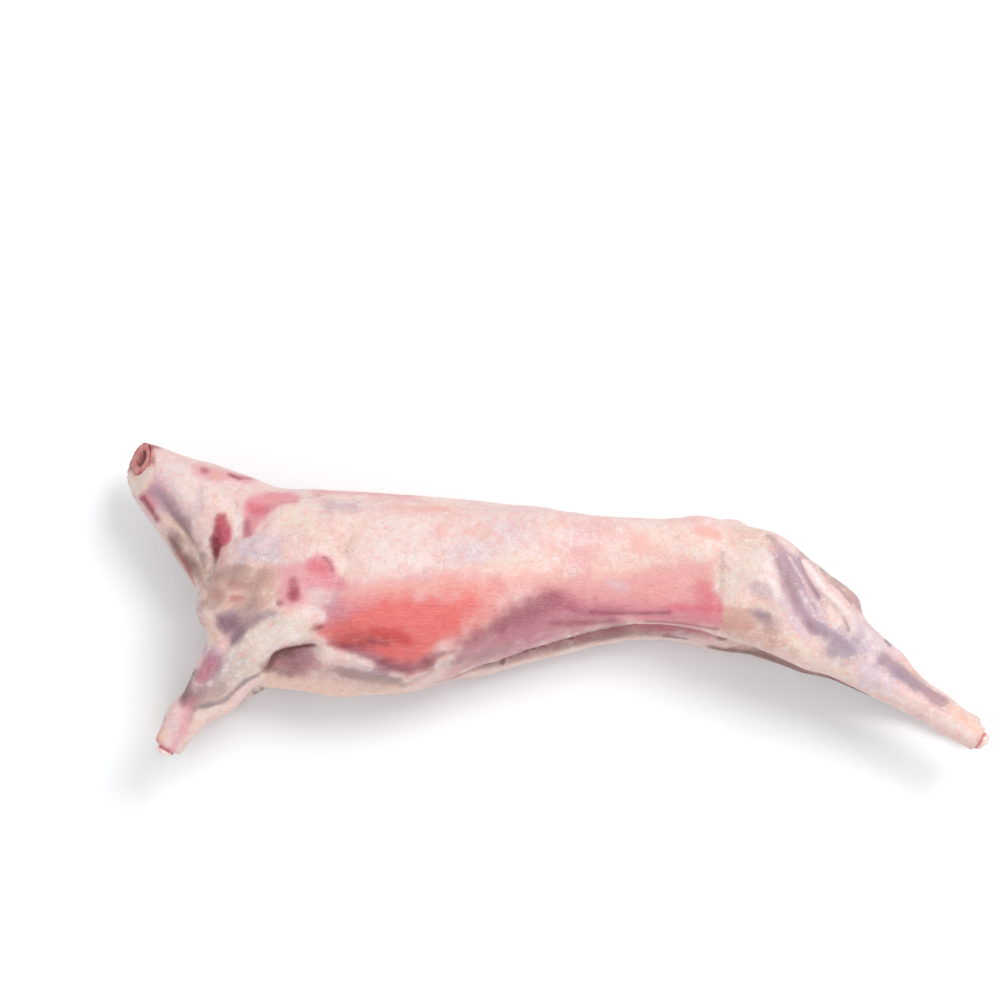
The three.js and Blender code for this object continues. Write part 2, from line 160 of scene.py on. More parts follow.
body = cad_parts["carcass"].copy()
body.data = body.data.copy()
body.parent = None
bpy.context.collection.objects.link(body)
edit(body, lambda: bpy.ops.mesh.remove_doubles(threshold=0.00002))
flesh_in_sockets = []
for cuts, radius in ((KNEE_CUTS, 0.0145), (HOCK_CUTS, 0.0152)):
    for cut, way in cuts.values():
        bpy.ops.mesh.primitive_cylinder_add(vertices=24, radius=radius, depth=SOCKET_DEPTH)
        filling = bpy.context.object
        filling.data.transform(toward(cut, way) @ Matrix.Translation((0, 0, -SOCKET_DEPTH / 2)))
        flesh_in_sockets.append(filling)
body = join([body, *flesh_in_sockets], "lamb_body")
apply_modifier(body, "REMESH", mode="VOXEL", voxel_size=0.0032)
edit(body, lambda: bpy.ops.mesh.vertices_smooth(factor=0.5, repeat=6))
skin = body.data


def skin_values(name, size=3):
    flat = np.empty(size * len(skin.vertices))
    skin.vertices.foreach_get(name, flat)
    return flat.reshape(-1, size)


rest_place = skin_values("co")
rest_normal = skin_values("normal")
skin_tree = BVHTree.FromObject(body, bpy.context.evaluated_depsgraph_get())


def wander(size, seed):
    """A smooth random value between about -1 and 1 at each point of the skin, with features of a given size."""
    shift = Vector((seed * 3.7, seed * 1.9, seed * 5.3))
    return np.array([noise.noise(Vector(p) / size + shift) for p in rest_place])


rough_fine = wander(0.007, 1)
rough_mid = wander(0.018, 2)
rough_large = wander(0.055, 3)


def on_skin(point, side):
    """A point on the body, in millimetres: x and y seen from above (side 1) or below (side -1), or x, y and z."""
    if len(point) == 3:
        return np.array(skin_tree.find_nearest(Vector(point) / 1000)[0])
    x, y = point[0] / 1000, point[1] / 1000
    hit = skin_tree.ray_cast(Vector((x, y, 0.1 + 0.4 * side)), Vector((0, 0, -side)))[0]
    if hit is None:
        hit = skin_tree.find_nearest(Vector((x, y, 0.1 + 0.05 * side)))[0]
    return np.array(hit)


def course(points, side):
    """The points of a smooth line over the skin through the given ones."""
    knots = [on_skin(point, side) for point in points]
    if len(knots) == 1:
        knots = [knots[0], knots[0] + np.array([1e-5, 0, 0])]
    knots = [2 * knots[0] - knots[1], *knots, 2 * knots[-1] - knots[-2]]
    line = []
    for a, b, c, d in zip(knots, knots[1:], knots[2:], knots[3:]):
        for t in np.linspace(0, 1, 6, endpoint=False):
            line.append(0.5 * (2 * b + (c - a) * t + (2 * a - 5 * b + 4 * c - d) * t**2
                               + (3 * b - a - 3 * c + d) * t**3))
    return np.array([*line, knots[-2]])


def follow(points, reach, side):
    """The skin's points near a line, how far off it they lie, and 1 on its middle falling to 0 at its ends."""
    line = course(points, side)
    low, high = line.min(axis=0) - reach, line.max(axis=0) + reach
    near = np.nonzero(np.all((rest_place > low) & (rest_place < high), axis=1))[0]
    spots = rest_place[near]
    off = np.full(len(near), np.inf)
    along = np.zeros(len(near))
    steps = np.linalg.norm(np.diff(line, axis=0), axis=1)
    starts = np.concatenate([[0], np.cumsum(steps)])
    for i, (a, b) in enumerate(zip(line, line[1:])):
        way = b - a
        t = np.clip((spots - a) @ way / max(way @ way, 1e-12), 0, 1)
        distance = np.linalg.norm(spots - (a + t[:, None] * way), axis=1)
        closer = distance < off
        off[closer] = distance[closer]
        along[closer] = (starts[i] + t * steps[i])[closer]
    end = max(starts[-1] * 0.25, 1e-6)
    fade = np.clip(np.minimum(along, starts[-1] - along) / end, 0, 1)
    return near, off, fade * fade * (3 - 2 * fade)


lift = np.zeros(len(rest_place))


def furrow(width, depth, points):
    """Sinks a line into both sides of the body; its width and depth are in millimetres."""
    for side in (1, -1):
        near, off, fade = follow(points, width * 0.0015, side)
        lift[near] -= depth * np.exp(-((off / (width * 0.0005)) ** 2)) * fade


def swell(point, along, across, height, turn=0):
    """A soft bump on both sides: its half sizes along and across a direction that is turned from X, in degrees."""
    angle = math.radians(turn)
    for side in (1, -1):
        gap = (rest_place - on_skin(point, side)) * 1000
        u = gap[:, 0] * math.cos(angle) + gap[:, 1] * math.sin(angle)
        v = gap[:, 1] * math.cos(angle) - gap[:, 0] * math.sin(angle)
        lift[:] += height * np.exp(-((u / along) ** 2 + (v / across) ** 2 + (gap[:, 2] / across) ** 2))


# neck: the groove over the jugular and the strap muscles beside it
furrow(16, 4.5, [(-508, 150), (-490, 112), (-468, 78), (-450, 40), (-440, 0)])
furrow(14, 2.6, [(-470, 165), (-430, 142), (-400, 105), (-398, 70)])
furrow(12, -2.8, [(-522, 150), (-500, 112), (-476, 70)])
furrow(16, 4.0, [(-412, 100), (-422, 70), (-430, 35), (-425, 5)])
# shoulder: the blade's ridge, and the furrows along its edges
furrow(20, -4.0, [(-325, 112), (-362, 60), (-395, 5), (-408, -30)])
furrow(15, 3.2, [(-392, 82), (-372, 106), (-330, 124), (-290, 122)])
furrow(14, 3.0, [(-345, 60), (-365, 20), (-378, -20), (-380, -50)])
furrow(18, 3.6, [(-262, 92), (-258, 40), (-272, 0), (-300, -42)])
swell((-318, -8), 52, 34, 3.5, 60)
swell((-300, 62), 40, 26, 2.0, 60)
swell((-388, -46), 30, 18, -3.5, 60)
# elbow and foreleg, with the hollow of the armpit behind them
furrow(30, 15, [(-356, -94), (-335, -86), (-308, -80), (-280, -80)])
furrow(18, -5.0, [(-318, -48), (-350, -68), (-380, -96), (-412, -126)])
furrow(14, -3.2, [(-400, -70), (-432, -104), (-468, -146), (-486, -176)])
furrow(12, 4.0, [(-392, -52), (-412, -84), (-438, -118), (-462, -146)])
furrow(10, 2.6, [(-376, -112), (-405, -132), (-440, -150)])
swell((-432, -86), 26, 14, 3.0, 48)
# breast and brisket
furrow(12, 3.0, [(-282, -68), (-250, -80), (-215, -92), (-180, -104)])
furrow(16, -2.4, [(-340, -102), (-290, -104), (-230, -112), (-170, -112)])
# behind the ribs the belly wall sinks; its edge is a thin lip
furrow(46, 4.5, [(-112, -72), (-60, -50), (-18, -24), (22, 8), (50, 42)])
furrow(7, 1.8, [(60, -26), (100, -27), (138, -27)])
furrow(7, 2.0, [(118, -42), (160, -41), (200, -43)])
# loin, hip bone and rump
furrow(22, 1.8, [(-220, 62), (-120, 48), (0, 40), (110, 36), (160, 34)])
swell((152, 78), 26, 16, 3.2, -20)
furrow(9, 2.2, [(205, 60), (200, 20), (197, -10), (196, -40)])
furrow(26, 4.5, [(232, 8), (252, -22), (272, -42)])
# thigh: the seams between its muscles, and the bellies between the seams
furrow(11, 3.6, [(262, 66), (276, 30), (282, -5), (300, -38), (322, -66)])
furrow(9, 3.8, [(298, 48), (310, 16), (324, -8), (344, -26), (352, -48)])
furrow(8, -2.4, [(308, 36), (320, 16), (333, -4), (348, -20), (364, -40), (380, -56)])
furrow(9, 3.2, [(320, 42), (342, 12), (366, -14), (392, -48)])
swell((296, 4), 36, 10, 2.8, -62)
swell((352, -62), 30, 18, 2.6, -40)
# shank: the calf, the hamstring to the hock and the bone's front edge
furrow(12, 4.6, [(398, -62), (430, -88), (470, -118), (505, -144)])
furrow(9, -3.0, [(405, -44), (440, -78), (480, -112), (516, -142)])
furrow(10, -2.2, [(372, -100), (420, -124), (470, -150), (512, -168)])
furrow(8, 2.2, [(380, -88), (425, -112), (470, -138), (505, -158)])

lift += 0.5 * rough_mid + 0.32 * rough_fine
lift *= np.clip((rest_place[:, 2] - 0.001) / 0.006, 0, 1)
place = rest_place + 0.001 * lift[:, None] * rest_normal
place[:, 2] = np.maximum(place[:, 2], 0.0002)
skin.vertices.foreach_set("co", place.ravel())
skin.update()
edit(body, lambda: bpy.ops.mesh.vertices_smooth(factor=0.4, repeat=1))
smooth_shade(body)


# ---- Body: its colours ---------------------------------------------------------------------------
# Pale fat lies over most of the body. Where the skin took it off, red muscle shows; where the meat is old or deep
# under membrane it is mauve to grey, and tendons and sheaths are white.
# Some dark strokes are painted shade, marked where they stand: on edges turned from the light and in hollows.
PRINT_LIGHT = 0.85
TONES = {name: np.array(linear(*shade)) * PRINT_LIGHT for name, shade in {
    "cream": (240, 216, 202), "milk": (243, 226, 223), "blush": (238, 200, 196), "lavender": (214, 196, 210),
    "lilac": (190, 158, 174), "salmon": (238, 172, 160), "rose": (228, 144, 154), "hot_rose": (222, 102, 120),
    "coral": (234, 106, 100), "scarlet": (208, 58, 56), "brick": (180, 66, 64), "crimson": (156, 38, 62),
    "oxblood": (88, 22, 32), "mauve": (182, 104, 122), "maroon": (146, 62, 80), "plum": (152, 120, 134),
    "dark_plum": (116, 88, 102), "slate": (140, 126, 132), "steel": (154, 140, 160), "tan": (206, 160, 144),
    "umber": (118, 78, 72), "clay": (170, 142, 136), "sand": (222, 190, 172), "peach": (246, 200, 176),
    "bone_white": (222, 208, 196)}.items()}

tint = np.empty_like(rest_place)
tint[:] = TONES["blush"]
rest_mm = rest_place * 1000
MEDIAN_Z = 96


def lay(tone, amount, points=slice(None)):
    tint[points] += np.asarray(amount)[:, None] * (TONES[tone] - tint[points])


def ragged(distance, soft, points):
    """1 inside a shape, 0 outside; its edge wanders by about the softness."""
    edge = distance + soft * (0.45 * rough_mid[points] + 0.25 * rough_fine[points])
    t = np.clip(0.5 - 0.6 * edge / soft, 0, 1)
    return t * t * (3 - 2 * t)


def daub(tone, strength, width, points, sides=(1, -1)):
    """A brush stroke of the given width along a line, in millimetres; one point gives a round spot."""
    for side in sides:
        near, off, _ = follow(points, width * 0.0016, side)
        lay(tone, strength * ragged(off * 1000 - width / 2, width * 0.5, near), near)


def field(tone, strength, soft, outline, sides=(1, -1)):
    """Fills an outline seen from above, with a soft ragged edge."""
    corners = np.array(outline, float)
    low, high = corners.min(axis=0) - 2 * soft, corners.max(axis=0) + 2 * soft
    near = np.nonzero(np.all((rest_mm[:, :2] > low) & (rest_mm[:, :2] < high), axis=1))[0]
    spots = rest_mm[near, :2]
    off = np.full(len(near), np.inf)
    inside = np.zeros(len(near), bool)
    for a, b in zip(corners, np.roll(corners, -1, axis=0)):
        way = b - a
        t = np.clip((spots - a) @ way / (way @ way), 0, 1)
        off = np.minimum(off, np.linalg.norm(spots - (a + t[:, None] * way), axis=1))
        if a[1] != b[1]:
            crosses = (a[1] > spots[:, 1]) != (b[1] > spots[:, 1])
            inside ^= crosses & (spots[:, 0] < a[0] + (spots[:, 1] - a[1]) / (b[1] - a[1]) * way[0])
    amount = strength * ragged(np.where(inside, -off, off), soft, near)
    for side in sides:
        height = np.clip(0.5 + side * (rest_mm[near, 2] - MEDIAN_Z) / 30, 0, 1)
        lay(tone, amount * height, near)


lay("cream", np.clip(0.25 + 0.9 * rough_large, 0, 0.6))
lay("lavender", np.clip(0.9 * wander(0.07, 7) - 0.1, 0, 0.5))
lay("rose", np.clip(0.9 * wander(0.04, 11) - 0.15, 0, 0.25))

# back, from the withers to the loin
daub("rose", 0.5, 14, [(-300, 132), (-240, 130), (-180, 128)])
daub("mauve", 0.5, 10, [(-297, 126)])
field("lilac", 0.65, 10, [(-290, 120), (-244, 116), (-245, 99), (-288, 99)])
field("salmon", 0.5, 12, [(-215, 116), (-130, 114), (-112, 104), (-160, 96), (-212, 100)])
daub("salmon", 0.5, 14, [(-160, 104), (-142, 104)])
field("milk", 0.55, 16, [(-226, 92), (-150, 88), (-156, 16), (-226, 18)])
field("lavender", 0.5, 12, [(-140, 54), (-92, 52), (-92, 30), (-140, 30)])
daub("clay", 0.5, 6, [(-161, 22), (-160, 8)])
daub("umber", 0.5, 4, [(-257, 48)])
daub("salmon", 0.45, 18, [(-104, 72), (-80, 68)])
daub("tan", 0.35, 16, [(-262, 50), (-252, 62)])
daub("sand", 0.5, 20, [(-305, 66), (-282, 62)])
field("salmon", 0.45, 16, [(-20, 56), (48, 56), (62, 28), (0, 26)])
daub("lavender", 0.4, 12, [(-80, 104), (20, 100)])

# loin and flank towards the thigh
field("salmon", 0.6, 16, [(-110, 22), (-20, 26), (60, 30), (140, 38), (202, 36), (203, -40), (150, -34),
                          (60, -24), (0, -10), (-80, 0)])
field("rose", 0.35, 14, [(-30, 6), (60, 12), (150, 30), (202, 30), (203, -42), (150, -34), (60, -24), (0, -12)])
daub("salmon", 0.6, 22, [(98, 58), (116, 52)])
daub("salmon", 0.7, 18, [(176, 74), (196, 68)])
daub("cream", 0.8, 18, [(166, 50), (182, 48)])
daub("lavender", 0.4, 12, [(66, 10), (84, 4)])
daub("salmon", 0.7, 14, [(98, -3), (132, -4)])
field("hot_rose", 0.6, 8, [(172, 14), (202, 8), (204, -42), (166, -38)])
daub("hot_rose", 0.5, 14, [(186, -8), (188, -24)])
daub("clay", 0.5, 6, [(203, 44), (201, 26), (199, 6)])
field("rose", 0.75, 7, [(0, -6), (60, -12), (140, -14), (200, -14), (202, -40), (140, -38), (60, -26), (0, -20)])

# coral flank behind the elbow, where the sheet muscle lies bare
daub("rose", 0.5, 34, [(-262, -14), (-200, -2), (-140, 2), (-80, 0)])
daub("salmon", 0.8, 26, [(-245, -14), (-200, -6), (-140, 0), (-90, 0)])
daub("salmon", 0.8, 26, [(-100, -6), (-84, -24), (-96, -46)])
field("coral", 0.82, 20, [(-298, -50), (-280, -35), (-255, -24), (-230, -16), (-180, -12), (-130, -9), (-104, -8),
                         (-96, -18), (-100, -40), (-120, -60), (-150, -76), (-160, -92), (-180, -100),
                         (-205, -96), (-222, -84), (-240, -75), (-262, -74), (-276, -66), (-280, -54)])
field("coral", 0.6, 9, [(-290, -48), (-262, -32), (-225, -22), (-160, -18), (-120, -20), (-118, -44), (-150, -68),
                        (-176, -92), (-206, -90), (-240, -72), (-276, -62)])
daub("rose", 0.5, 20, [(-278, -34), (-252, -24), (-228, -16)])
daub("mauve", 0.45, 24, [(-290, -40), (-262, -34)])
daub("mauve", 0.3, 30, [(-226, -84), (-190, -88)])
field("brick", 0.6, 16, [(-276, -54), (-232, -50), (-196, -52), (-176, -64), (-204, -76), (-262, -76)])
daub("brick", 0.5, 13, [(-268, -62), (-240, -60), (-212, -58)])
daub("crimson", 0.7, 9, [(-276, -67), (-258, -71), (-238, -70)])
daub("scarlet", 0.6, 13, [(-218, -54), (-200, -56), (-184, -64)])
daub("maroon", 0.5, 9, [(-228, -64), (-208, -68)])
daub("coral", 0.6, 12, [(-214, -74), (-192, -78)])
daub("maroon", 0.8, 18, [(-214, -90), (-188, -96), (-158, -90)])
daub("mauve", 0.7, 15, [(-250, -78), (-226, -84)])
daub("maroon", 0.6, 12, [(-160, -84), (-140, -78)])
daub("oxblood", 0.6, 6, [(-302, -51), (-288, -47)])

# the slope behind the last rib, mauve to maroon down to the slit's lip: its colour, and painted shade as it sinks
field("rose", 0.4, 22, [(-110, -26), (-70, -12), (-30, 8), (30, 6), (110, 0), (203, 0), (203, -48), (110, -34),
                        (20, -46), (-60, -70)])
field("coral", 0.3, 26, [(-124, 2), (-80, -2), (-62, -20), (-80, -46), (-124, -56)])
field("mauve", 0.72, 18, [(-130, -76), (-112, -58), (-86, -46), (-60, -32), (-38, -16), (-18, -6), (12, -8),
                          (64, -18), (90, -36), (40, -46), (0, -56), (-25, -64), (-65, -78), (-105, -90),
                          (-130, -96)])
daub("maroon", 0.32, 24, [(-96, -60), (-74, -50), (-48, -36), (-18, -20), (0, -15)])
daub("maroon", 0.25, 38, [(-70, -46), (-44, -32), (-12, -20)])
daub("clay", 0.4, 16, [(-136, -88), (-100, -80), (-60, -66)])
daub("mauve", 0.7, 8, [(-4, -18), (30, -23), (62, -25), (104, -24), (138, -25)])
daub("maroon", 0.45, 8, [(-4, -38), (34, -36), (70, -33)])
daub("maroon", 0.5, 4, [(40, -24), (90, -25), (138, -25)])
daub("rose", 0.8, 5, [(112, -29), (164, -31)])
daub("hot_rose", 0.6, 10, [(140, -20), (200, -24)])
daub("maroon", 0.6, 6, [(112, -33), (160, -38), (196, -46)])

# the lips of the slit: painted shade along the upper flank's lip and in the gap under it, pale fat on the lower flank
daub("cream", 0.85, 30, [(-105, -92, 62), (-45, -77, 52), (0, -66, 48), (50, -55, 48), (100, -48, 48), (150, -49, 48),
                         (195, -58, 48)], (1,))
# painted shade: a clay line along the upper flank's lip, and another in the gap under it
daub("clay", 0.7, 9, [(-150, -104, 108), (-105, -89, 110), (-65, -78, 114), (-25, -64, 118), (25, -50, 120),
                      (75, -38, 120), (125, -35, 118), (160, -40, 118), (195, -50, 122)], (1,))
daub("clay", 0.5, 7, [(0, -62, 78), (50, -50, 78), (100, -44, 76), (150, -46, 74)], (1,))
daub("umber", 0.9, 7, [(-96, -91, 98), (-90, -89, 100)], (1,))
daub("umber", 0.8, 6, [(-64, -83, 92), (-54, -80, 94)], (1,))
daub("umber", 0.6, 5, [(138, -46, 74), (166, -47, 74)], (1,))
daub("umber", 0.8, 5, [(184, -48, 112), (200, -53, 116)], (1,))

# shoulder
field("cream", 0.7, 14, [(-356, 102), (-290, 104), (-282, 60), (-330, 62)])
field("lavender", 0.75, 10, [(-398, 66), (-340, 66), (-336, 32), (-392, 30)])
daub("slate", 0.3, 12, [(-368, 43), (-356, 40)])
field("tan", 0.7, 9, [(-426, 26), (-395, 32), (-346, 28), (-338, 0), (-346, -22), (-380, -27), (-424, -25)])
field("salmon", 0.4, 8, [(-374, 20), (-344, 18), (-342, -2), (-372, 2)])
daub("brick", 0.4, 10, [(-416, 18)])
daub("brick", 0.45, 11, [(-421, -4), (-412, -8)])
daub("brick", 0.45, 10, [(-398, 6), (-378, 3)])
daub("brick", 0.5, 7, [(-396, -12), (-386, -12)])
field("rose", 0.6, 9, [(-346, 26), (-312, 30), (-300, 0), (-306, -26), (-334, -24)])
daub("crimson", 0.6, 12, [(-322, 6), (-320, -12)])
daub("crimson", 0.6, 12, [(-321, -10)])
daub("maroon", 0.6, 8, [(-338, -20)])
field("rose", 0.85, 8, [(-308, 36), (-292, 44), (-276, 34), (-262, 12), (-254, 0), (-280, -4), (-307, 4)])
daub("hot_rose", 0.65, 16, [(-294, 26), (-284, 22)])
daub("maroon", 0.6, 5, [(-285, 37), (-278, 30), (-274, 20)])
field("lilac", 0.45, 9, [(-304, -2), (-268, -4), (-272, -24), (-300, -28)])
daub("milk", 0.75, 13, [(-304, -30), (-288, -36)])
field("plum", 0.8, 12, [(-417, -29), (-395, -27), (-366, -29), (-352, -37), (-360, -50), (-376, -54),
                        (-381, -68), (-397, -68), (-405, -53), (-418, -46)])
daub("dark_plum", 0.6, 20, [(-406, -38), (-392, -48), (-389, -60)])
daub("clay", 0.4, 34, [(-372, -34), (-350, -44)])
daub("clay", 0.45, 26, [(-396, 14), (-376, 8), (-372, -10)])
daub("slate", 0.5, 10, [(-352, -30), (-344, -33)])
daub("sand", 0.75, 15, [(-433, 26), (-430, -10), (-426, -45), (-414, -66)])
daub("clay", 0.5, 26, [(-424, 40), (-420, 10), (-422, -20)])
daub("clay", 0.35, 30, [(-392, 20), (-356, 14)])
field("rose", 0.88, 7, [(-392, 100), (-385, 118), (-366, 127), (-336, 133), (-318, 125), (-321, 112),
                        (-344, 105), (-361, 90), (-374, 72), (-386, 68), (-389, 88)])
daub("hot_rose", 0.7, 15, [(-376, 106), (-364, 104)])
daub("salmon", 0.5, 12, [(-352, 116), (-330, 120)])
daub("mauve", 0.7, 10, [(-383, 86), (-381, 72)])
daub("milk", 0.85, 12, [(-394, 98), (-396, 72)])

# neck
field("milk", 0.5, 14, [(-500, 175), (-400, 140), (-400, 110), (-450, 100), (-480, 130)])
field("rose", 0.55, 8, [(-464, 172), (-420, 162), (-382, 155), (-384, 143), (-416, 142), (-452, 148)])
daub("salmon", 0.6, 12, [(-428, 152), (-416, 148)])
daub("crimson", 0.6, 10, [(-440, 158)])
daub("crimson", 0.8, 9, [(-408, 153), (-398, 149)])
daub("mauve", 0.6, 8, [(-392, 151), (-382, 150)])
field("crimson", 0.95, 5, [(-421, 98), (-411, 98), (-403, 80), (-405, 62), (-416, 56), (-423, 40), (-430, 58),
                           (-427, 78)])
daub("crimson", 0.7, 12, [(-424, 62), (-424, 48)])
daub("oxblood", 0.45, 8, [(-426, 66), (-425, 50)])
daub("hot_rose", 0.75, 16, [(-414, 88), (-408, 68)])
daub("salmon", 0.6, 12, [(-412, 50), (-414, 34)])
daub("lilac", 0.5, 14, [(-442, 128), (-441, 106)])
field("rose", 0.4, 8, [(-528, 150), (-490, 148), (-482, 128), (-518, 124)])
daub("lilac", 0.5, 42, [(-500, 132), (-478, 110), (-462, 84)])
daub("plum", 0.6, 24, [(-506, 128), (-486, 112), (-468, 88)])
daub("clay", 0.7, 22, [(-464, 84), (-452, 62), (-444, 36)])
daub("plum", 0.35, 12, [(-482, 108), (-468, 90), (-456, 66)])
daub("rose", 0.7, 14, [(-519, 132), (-505, 114)])
daub("crimson", 0.8, 10, [(-521, 128), (-508, 111), (-499, 97)])
# painted shade: the umber and brick strokes here darken the neck's front edge, which faces away from the light
daub("umber", 0.4, 34, [(-478, 70), (-466, 44), (-452, 12), (-444, -30)])
daub("sand", 0.8, 8, [(-488, 98), (-467, 77), (-451, 53), (-439, 25), (-433, -6)])
daub("umber", 0.8, 14, [(-480, 72), (-461, 43), (-446, 4), (-438, -44)])
daub("brick", 0.5, 8, [(-472, 54), (-460, 34), (-452, 16)])
daub("brick", 0.6, 8, [(-439, -46), (-437, -56)])
daub("slate", 0.5, 10, [(-438, 48)])

# elbow, foreleg and armpit
field("bone_white", 0.85, 8, [(-374, -52), (-345, -36), (-300, -40), (-298, -62), (-330, -70), (-352, -84),
                              (-365, -100), (-385, -112), (-408, -126), (-424, -112), (-405, -84)])
daub("milk", 0.7, 12, [(-392, -78), (-412, -100), (-430, -118)])
daub("milk", 0.7, 9, [(-318, -58), (-336, -70), (-352, -84)])
field("lilac", 0.7, 8, [(-438, -66), (-412, -66), (-404, -88), (-432, -96)])
daub("lilac", 0.6, 30, [(-418, -88), (-428, -108)])
daub("mauve", 0.75, 22, [(-422, -92), (-434, -108)])
daub("dark_plum", 0.8, 13, [(-441, -84), (-445, -102), (-454, -118)])
daub("umber", 0.9, 18, [(-457, -112), (-452, -132)])
daub("slate", 0.3, 34, [(-390, -86), (-406, -116)])
daub("plum", 0.5, 18, [(-440, -122), (-446, -134)])
daub("clay", 0.6, 24, [(-412, -122), (-436, -136)])
# painted shade: a dark slate line along the foreleg's rear lower edge
daub("slate", 0.75, 7, [(-364, -104), (-378, -110), (-391, -122), (-404, -134), (-422, -141), (-444, -144)])
daub("peach", 0.95, 26, [(-476, -134), (-484, -152), (-492, -174)])
daub("rose", 0.55, 13, [(-446, -140), (-452, -156), (-458, -172), (-466, -186)])
daub("clay", 0.5, 8, [(-442, -140), (-448, -158)])
daub("rose", 0.7, 7, [(-486, -128), (-498, -148), (-506, -170), (-503, -184)])
daub("rose", 0.6, 8, [(-502, -182), (-488, -196), (-470, -198)])
# painted shade: maroon, plum, oxblood and umber darken the hollow of the armpit
field("maroon", 0.75, 8, [(-360, -94), (-344, -81), (-322, -73), (-298, -68), (-290, -76), (-292, -92), (-312, -99),
                          (-342, -101)])
daub("plum", 0.5, 15, [(-324, -90), (-304, -86)])
daub("oxblood", 0.8, 8, [(-350, -93), (-333, -84), (-314, -77), (-296, -73)])
daub("umber", 0.9, 20, [(-350, -94), (-338, -88), (-328, -86)])
daub("umber", 0.5, 9, [(-356, -98), (-330, -100)])

# breast
field("peach", 0.7, 9, [(-362, -103), (-290, -103), (-200, -112), (-170, -122), (-300, -130), (-360, -122)])
# painted shadow: the clay and plum strokes darken a band of the chest below the armpit and elbow
field("clay", 0.6, 14, [(-296, -88), (-262, -92), (-225, -98), (-190, -104), (-190, -112), (-240, -112),
                        (-296, -100)])
daub("clay", 0.8, 16, [(-262, -98), (-236, -104), (-200, -107)])
daub("plum", 0.5, 16, [(-246, -94), (-216, -100)])
daub("milk", 0.55, 17, [(-290, -80), (-262, -84), (-234, -92)])
daub("clay", 0.5, 10, [(-190, -112), (-150, -108)])

# rump and hip
field("bone_white", 0.75, 10, [(192, 26), (222, 24), (226, -12), (204, -16), (190, 0)])
field("sand", 0.5, 12, [(206, 96), (262, 82), (266, 48), (214, 54)])
field("bone_white", 0.6, 12, [(220, 58), (266, 46), (272, 0), (256, -18), (232, -12), (224, 20)])
daub("cream", 0.5, 14, [(236, 30), (248, 6)])
daub("milk", 0.7, 12, [(258, 24), (264, -6)])
field("tan", 0.8, 8, [(203, -20), (236, -20), (242, -46), (206, -46)])
daub("brick", 0.3, 10, [(214, -44), (234, -46)])
daub("lilac", 0.6, 18, [(244, 2), (256, -6)])
field("slate", 0.6, 11, [(238, -24), (256, -28), (274, -40), (270, -50), (252, -50), (240, -38)])
daub("dark_plum", 0.45, 11, [(246, -31), (258, -38)])
daub("clay", 0.5, 9, [(254, -50), (268, -54)])
field("tan", 0.7, 14, [(210, -30), (240, -40), (286, -60), (262, -72), (206, -56)])
daub("clay", 0.6, 14, [(262, 66), (276, 46), (284, 30)])

# thigh: mauve muscle between white sheaths
field("lilac", 0.85, 12, [(262, 44), (288, 52), (304, 42), (312, 14), (324, -6), (332, -40), (314, -60),
                          (290, -38), (272, -4)])
field("plum", 0.2, 14, [(268, 40), (302, 40), (318, 0), (334, -30), (326, -56), (300, -40), (278, -4)])
daub("plum", 0.2, 18, [(286, 34), (298, 8), (312, -16)])
daub("milk", 0.35, 6, [(284, 40), (298, 14), (312, -12), (326, -34)])
daub("dark_plum", 0.3, 8, [(299, 38), (308, 16), (320, -8)])
daub("milk", 0.8, 9, [(256, 28), (264, 8), (273, -14)])
daub("lavender", 0.8, 8, [(273, -14), (286, -38), (303, -60)])
daub("lavender", 0.6, 8, [(296, -6), (312, -28), (326, -46)])
daub("clay", 0.5, 8, [(270, 34), (283, 8), (294, -14)])
daub("plum", 0.5, 14, [(310, -44), (336, -54)])
field("clay", 0.7, 12, [(290, 70), (318, 60), (350, 34), (378, 2), (398, -32), (384, -42), (356, -8), (328, 24),
                        (300, 48)])
daub("bone_white", 0.7, 8, [(322, 46), (346, 22), (368, 0), (386, -24)])
daub("slate", 0.5, 7, [(308, 48), (328, 26), (346, 4), (362, -14)])
daub("slate", 0.6, 7, [(324, 0), (338, -16), (349, -30), (357, -50)])
daub("milk", 1.0, 8, [(305, 36), (318, 16), (331, -4), (347, -20), (364, -40), (382, -58)])
field("lavender", 0.7, 8, [(356, -34), (384, -30), (402, -70), (384, -80), (364, -60)])
daub("slate", 0.7, 9, [(384, -24), (396, -44), (408, -64)])
daub("cream", 0.8, 20, [(290, -66), (318, -84), (350, -100)])
daub("tan", 0.6, 12, [(262, -62), (290, -76)])
field("lavender", 0.75, 9, [(360, -90), (400, -82), (430, -112), (408, -126), (372, -114)])
field("steel", 0.75, 15, [(320, -52), (348, -46), (372, -54), (378, -78), (352, -88), (324, -78)])
daub("plum", 0.3, 14, [(340, -60), (360, -68)])
daub("lavender", 0.4, 7, [(336, -46), (352, -58), (372, -76)])
# painted shade: clay and umber lines along the lower edge of the thigh and shank, which turns away from the light
daub("clay", 0.7, 10, [(203, -58, 120), (235, -68, 130), (260, -77, 132), (300, -94, 130), (340, -108, 126),
                       (380, -124, 124), (420, -142, 120)], (1,))
daub("umber", 0.85, 22, [(203, -58, 60), (235, -63, 58), (262, -70, 58), (300, -83, 54), (340, -94, 48),
                         (380, -109, 40), (420, -125, 32)], (1,))
daub("umber", 0.8, 12, [(203, -58, 96), (235, -66, 104), (260, -72, 108), (300, -88, 106), (340, -102, 102),
                        (380, -119, 100), (420, -138, 100)], (1,))

# shank
daub("plum", 0.7, 20, [(400, -84), (440, -110), (476, -134)])
daub("steel", 0.5, 12, [(410, -96), (440, -116)])
daub("milk", 0.9, 9, [(398, -38), (420, -62), (450, -88), (490, -124), (518, -146)])
daub("milk", 0.7, 8, [(400, -122), (450, -146), (505, -172)])
daub("slate", 0.5, 6, [(405, -60), (440, -90), (478, -120)])
daub("peach", 0.7, 26, [(492, -144), (516, -160)])
daub("salmon", 0.6, 10, [(506, -140), (520, -158), (518, -178)])

